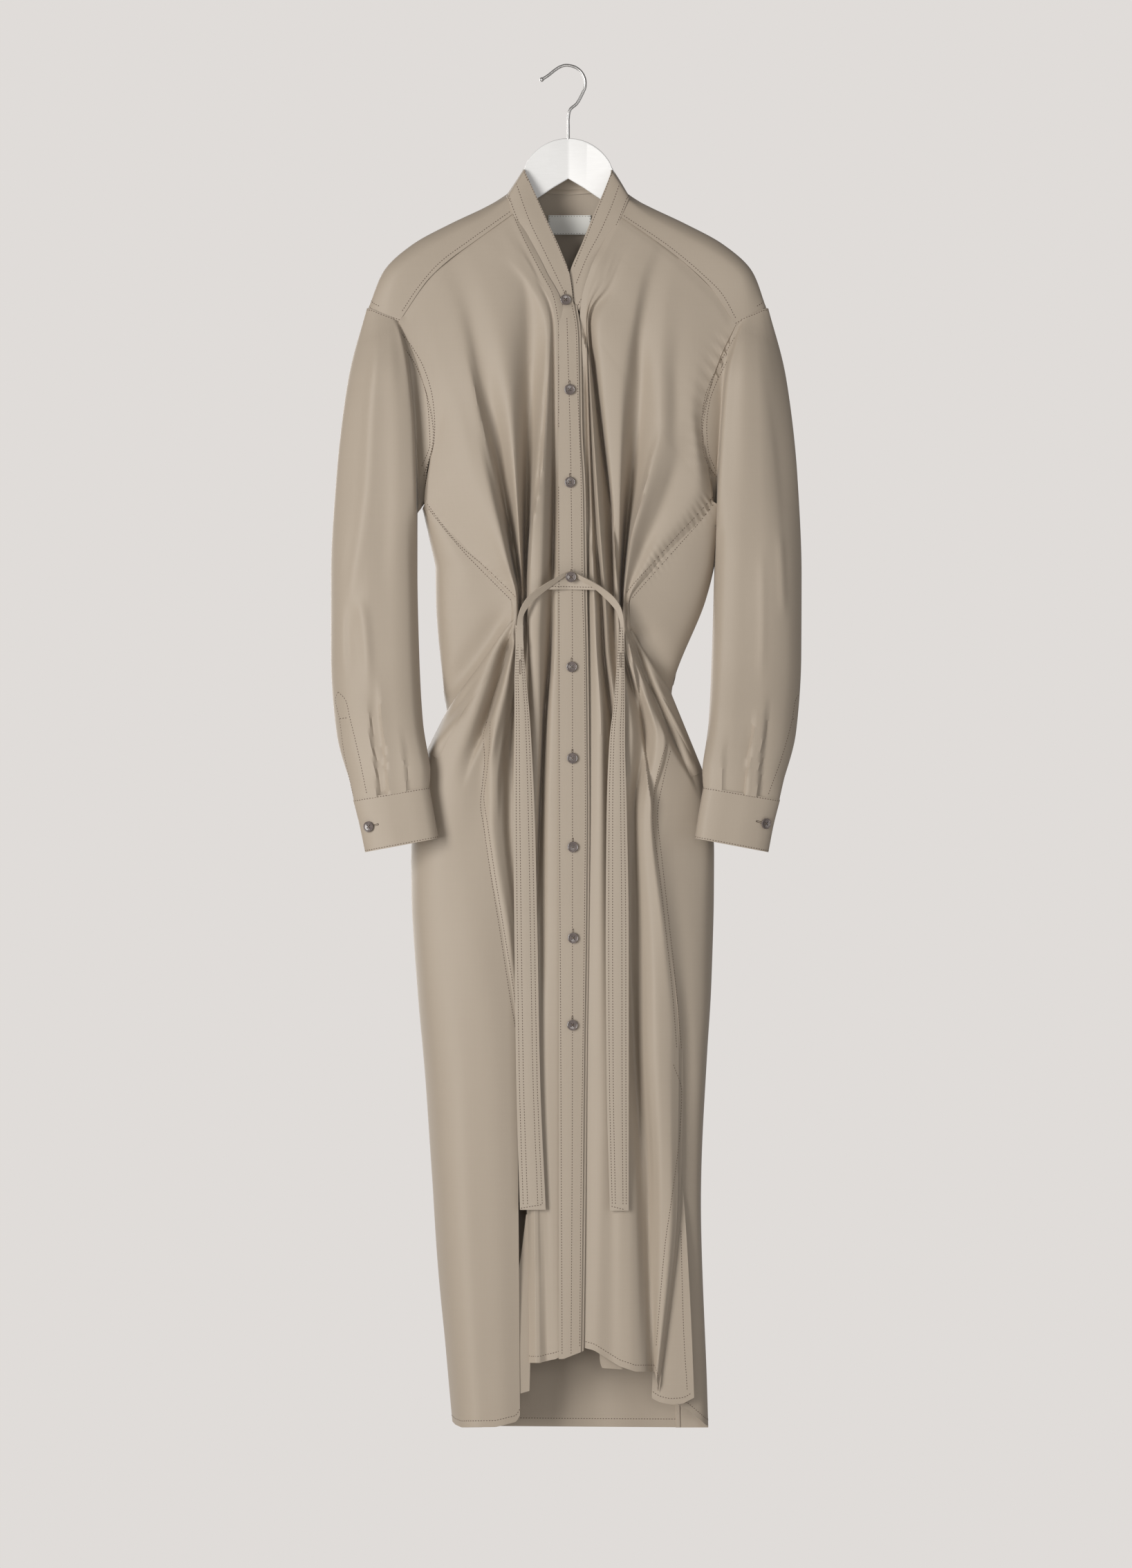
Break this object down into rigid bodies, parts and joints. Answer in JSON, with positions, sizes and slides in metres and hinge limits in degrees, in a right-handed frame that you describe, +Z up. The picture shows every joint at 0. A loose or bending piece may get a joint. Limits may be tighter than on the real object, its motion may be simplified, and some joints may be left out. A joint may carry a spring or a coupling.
{
  "type": "shirt dress on hanger",
  "caption": "Long shirt dress in plain cotton hung on a white hanger, with a band collar, a button placket, cuffed sleeves, a tie belt and a slit hem.",
  "frame": {"origin": "inside of the hook's top, where a nail or rail bears, in the middle of the hanger's depth", "axes": "+Z up, +X to the right as seen from the front, the front faces -Y"},
  "size_m": [0.5106, 0.0949, 1.4645],
  "materials": {
    "cloth": "plain weave, soft sheen",
    "button": "smoky horn, polished",
    "hanger": "white satin paint",
    "hook": "polished",
    "label": "blank woven satin"
  },
  "bodies": {
    "root": {"neck_band": "cloth", "placket_top": "cloth", "placket_under": "cloth", "front_left": "cloth", "front_right": "cloth", "yoke": "cloth", "side_left": "cloth", "side_right": "cloth", "back": "cloth", "cuff_left": "cloth", "cuff_right": "cloth", "sleeve_left": "cloth", "sleeve_right": "cloth", "vent_flap_right": "cloth", "belt_bar": "cloth", "belt_tail_left": "cloth", "belt_tail_right": "cloth", "button_1": "button", "button_2": "button", "button_3": "button", "button_4": "button", "button_5": "button", "button_6": "button", "button_7": "button", "button_8": "button", "button_9": "button", "cuff_button_left": "button", "cuff_button_right": "button", "hanger": "hanger", "hook": "hook", "label": "label"}
  },
  "joints": []
}
